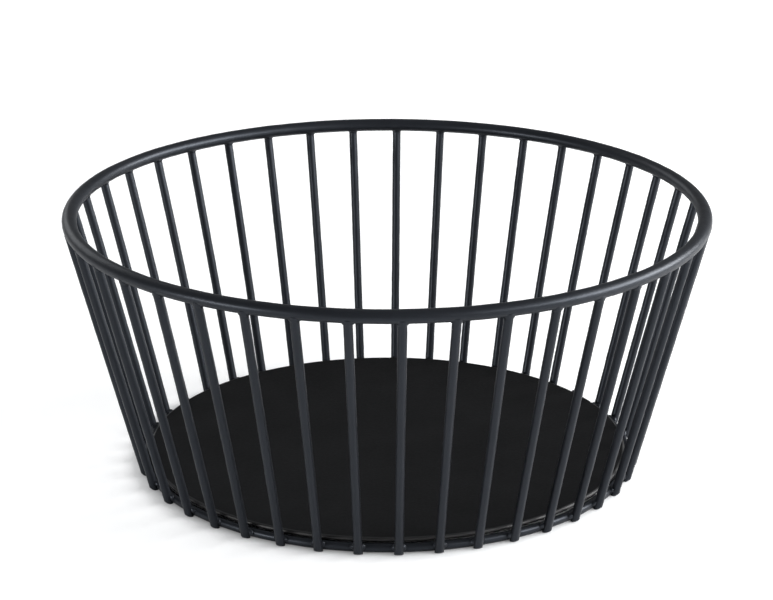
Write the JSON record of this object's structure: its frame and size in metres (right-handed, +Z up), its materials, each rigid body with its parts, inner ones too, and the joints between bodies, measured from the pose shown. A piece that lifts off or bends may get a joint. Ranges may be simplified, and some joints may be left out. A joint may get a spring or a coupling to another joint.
{
  "type": "wire bread basket",
  "caption": "Round black powder-coated wire bread basket with leaning uprights, a thick rim ring and a sheet floor.",
  "frame": {"origin": "centre of the circle of upright ends that the basket stands on, at the bottom of the bounding box", "axes": "+Z up along the axis of the basket, -Y towards the side shown in the picture, where one upright stands, +X to the right seen from there"},
  "size_m": [0.25, 0.25, 0.1038],
  "materials": {
    "frame_coat": "satin powder coat on steel wire",
    "floor_coat": "satin powder coat on sheet steel"
  },
  "bodies": {
    "root": {"rim_ring": "frame_coat", "base_ring": "frame_coat", "floor_plate": "floor_coat", "upright_01": "frame_coat", "upright_02": "frame_coat", "upright_03": "frame_coat", "upright_04": "frame_coat", "upright_05": "frame_coat", "upright_06": "frame_coat", "upright_07": "frame_coat", "upright_08": "frame_coat", "upright_09": "frame_coat", "upright_10": "frame_coat", "upright_11": "frame_coat", "upright_12": "frame_coat", "upright_13": "frame_coat", "upright_14": "frame_coat", "upright_15": "frame_coat", "upright_16": "frame_coat", "upright_17": "frame_coat", "upright_18": "frame_coat", "upright_19": "frame_coat", "upright_20": "frame_coat", "upright_21": "frame_coat", "upright_22": "frame_coat", "upright_23": "frame_coat", "upright_24": "frame_coat", "upright_25": "frame_coat", "upright_26": "frame_coat", "upright_27": "frame_coat", "upright_28": "frame_coat", "upright_29": "frame_coat", "upright_30": "frame_coat", "upright_31": "frame_coat", "upright_32": "frame_coat", "upright_33": "frame_coat", "upright_34": "frame_coat", "upright_35": "frame_coat", "upright_36": "frame_coat", "upright_37": "frame_coat", "upright_38": "frame_coat", "upright_39": "frame_coat", "upright_40": "frame_coat", "upright_41": "frame_coat"}
  },
  "joints": []
}
